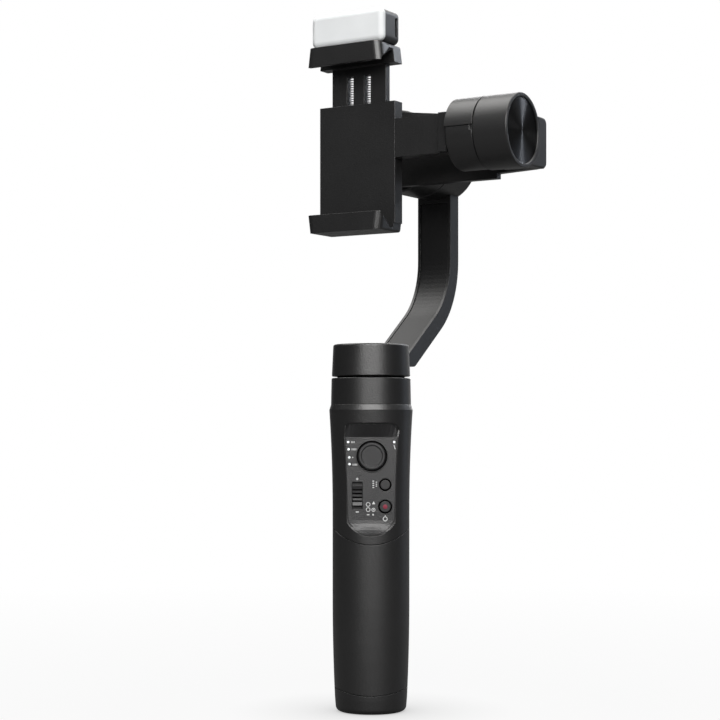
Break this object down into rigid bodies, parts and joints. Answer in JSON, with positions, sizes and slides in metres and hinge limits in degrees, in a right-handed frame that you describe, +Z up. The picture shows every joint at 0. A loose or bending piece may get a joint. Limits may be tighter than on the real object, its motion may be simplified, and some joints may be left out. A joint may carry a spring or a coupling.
{
  "type": "smartphone gimbal",
  "caption": "Hand-held powered stabiliser for a phone: a round handle with a control panel, motorised arms and a spring clamp with a fill light on top.",
  "frame": {"origin": "bottom centre of the handle, at the mouth of the tripod thread", "axes": "+Z up the handle, -Y out of the control panel, +X to the right as seen by someone who faces the panel; the head is stored turned 32 degrees about Z, as pictured"},
  "size_m": [0.1045, 0.1192, 0.31],
  "materials": {
    "body": "satin",
    "inner": "matte",
    "cover": "satin",
    "grip": "soft matte",
    "pads": "matte",
    "panel": "satin",
    "controls": "satin",
    "lamps": "clear",
    "diffuser": "translucent white",
    "disc": "dark brushed",
    "brass": "turned",
    "cell": "wrapped",
    "board": "lacquered",
    "copper": "enamelled wire",
    "lamination": "laminated",
    "magnet": "nickel plated",
    "steel": "ground"
  },
  "bodies": {
    "handle": {"base_cap": "body", "tripod_insert": "brass", "handle_tube": "inner", "grip_sleeve": "grip", "battery_holder": "inner", "battery_cell": "cell", "upper_housing": "body", "control_panel": "panel", "joystick_base": "inner", "main_board": "board", "charge_board": "board", "button_switches": "inner", "indicator_lights": "lamps", "usb_port": "steel", "pan_motor_base": "body", "pan_stator": "lamination", "pan_coils": "copper", "pan_bearings": "steel"},
    "pan_frame": {"pan_rotor": "body", "pan_magnets": "magnet", "pan_shaft": "steel", "pan_arm": "body", "pan_arm_cover": "cover", "roll_motor_base": "body", "roll_end_cap": "disc", "roll_stator": "lamination", "roll_coils": "copper", "roll_bearings": "steel"},
    "roll_frame": {"roll_rotor": "body", "roll_magnets": "magnet", "roll_shaft": "steel", "roll_arm": "body", "roll_arm_cover": "cover", "tilt_motor_base": "body", "tilt_end_cap": "disc", "tilt_stator": "lamination", "tilt_coils": "copper", "tilt_bearings": "steel"},
    "phone_clamp": {"tilt_rotor": "body", "tilt_shell": "body", "tilt_magnets": "magnet", "tilt_shaft": "steel", "clamp_bracket": "body", "stop_pad": "pads", "clamp_body": "body", "clamp_cover": "body", "lower_jaw_pad": "pads", "guide_rods": "steel", "clamp_springs": "steel"},
    "sliding_jaw": {"upper_jaw": "body", "upper_jaw_pad": "pads"},
    "fill_light": {"light_housing": "body", "light_diffuser": "diffuser", "light_board": "board"},
    "light_switch": {"light_button": "controls"},
    "stick_yoke": {"joystick_yoke": "steel"},
    "stick_cap": {"joystick_cap": "controls"},
    "zoom_slide": {"zoom_slider": "controls"},
    "mode_key": {"mode_button": "controls"},
    "record_key": {"record_button": "controls"}
  },
  "joints": [
    {"name": "pan", "type": "hinge", "parent": "handle", "child": "pan_frame", "pos_m": [0, 0, 0.15], "axis": [0, 0, 1], "range_deg": [-268, 332]},
    {"name": "roll", "type": "hinge", "parent": "pan_frame", "child": "roll_frame", "pos_m": [0, 0, 0.2543], "axis": [0.5299, 0.848, 0], "range_deg": [-160, 160]},
    {"name": "tilt", "type": "hinge", "parent": "roll_frame", "child": "phone_clamp", "pos_m": [0, 0, 0.2543], "axis": [0.848, -0.5299, 0], "range_deg": [-54, 50]},
    {"name": "jaw_slide", "type": "slide", "parent": "phone_clamp", "child": "sliding_jaw", "axis": [0, 0, 1], "range_m": [-0.016, 0.018], "stiffness_N_per_m": 600, "deforming": ["clamp_springs"]},
    {"name": "light_lift", "type": "slide", "parent": "sliding_jaw", "child": "fill_light", "axis": [0, 0, 1], "range_m": [0, 0.03]},
    {"name": "light_press", "type": "slide", "parent": "fill_light", "child": "light_switch", "axis": [-0.5299, -0.848, 0], "range_m": [0, 0.0004], "stiffness_N_per_m": 1500},
    {"name": "stick_up_down", "type": "hinge", "parent": "handle", "child": "stick_yoke", "pos_m": [0.0003, -0.007, 0.1145], "axis": [1, 0, 0], "range_deg": [-12, 12], "stiffness_Nm_per_rad": 0.05},
    {"name": "stick_left_right", "type": "hinge", "parent": "stick_yoke", "child": "stick_cap", "pos_m": [0.0003, -0.007, 0.1145], "axis": [0, 0, 1], "range_deg": [-12, 12], "stiffness_Nm_per_rad": 0.05},
    {"name": "zoom", "type": "slide", "parent": "handle", "child": "zoom_slide", "axis": [0, 0, 1], "range_m": [-0.0015, 0.0015], "stiffness_N_per_m": 500},
    {"name": "mode_press", "type": "slide", "parent": "handle", "child": "mode_key", "axis": [0, 1, 0], "range_m": [0, 0.0006], "stiffness_N_per_m": 1500},
    {"name": "record_press", "type": "slide", "parent": "handle", "child": "record_key", "axis": [0, 1, 0], "range_m": [0, 0.0006], "stiffness_N_per_m": 1500}
  ]
}
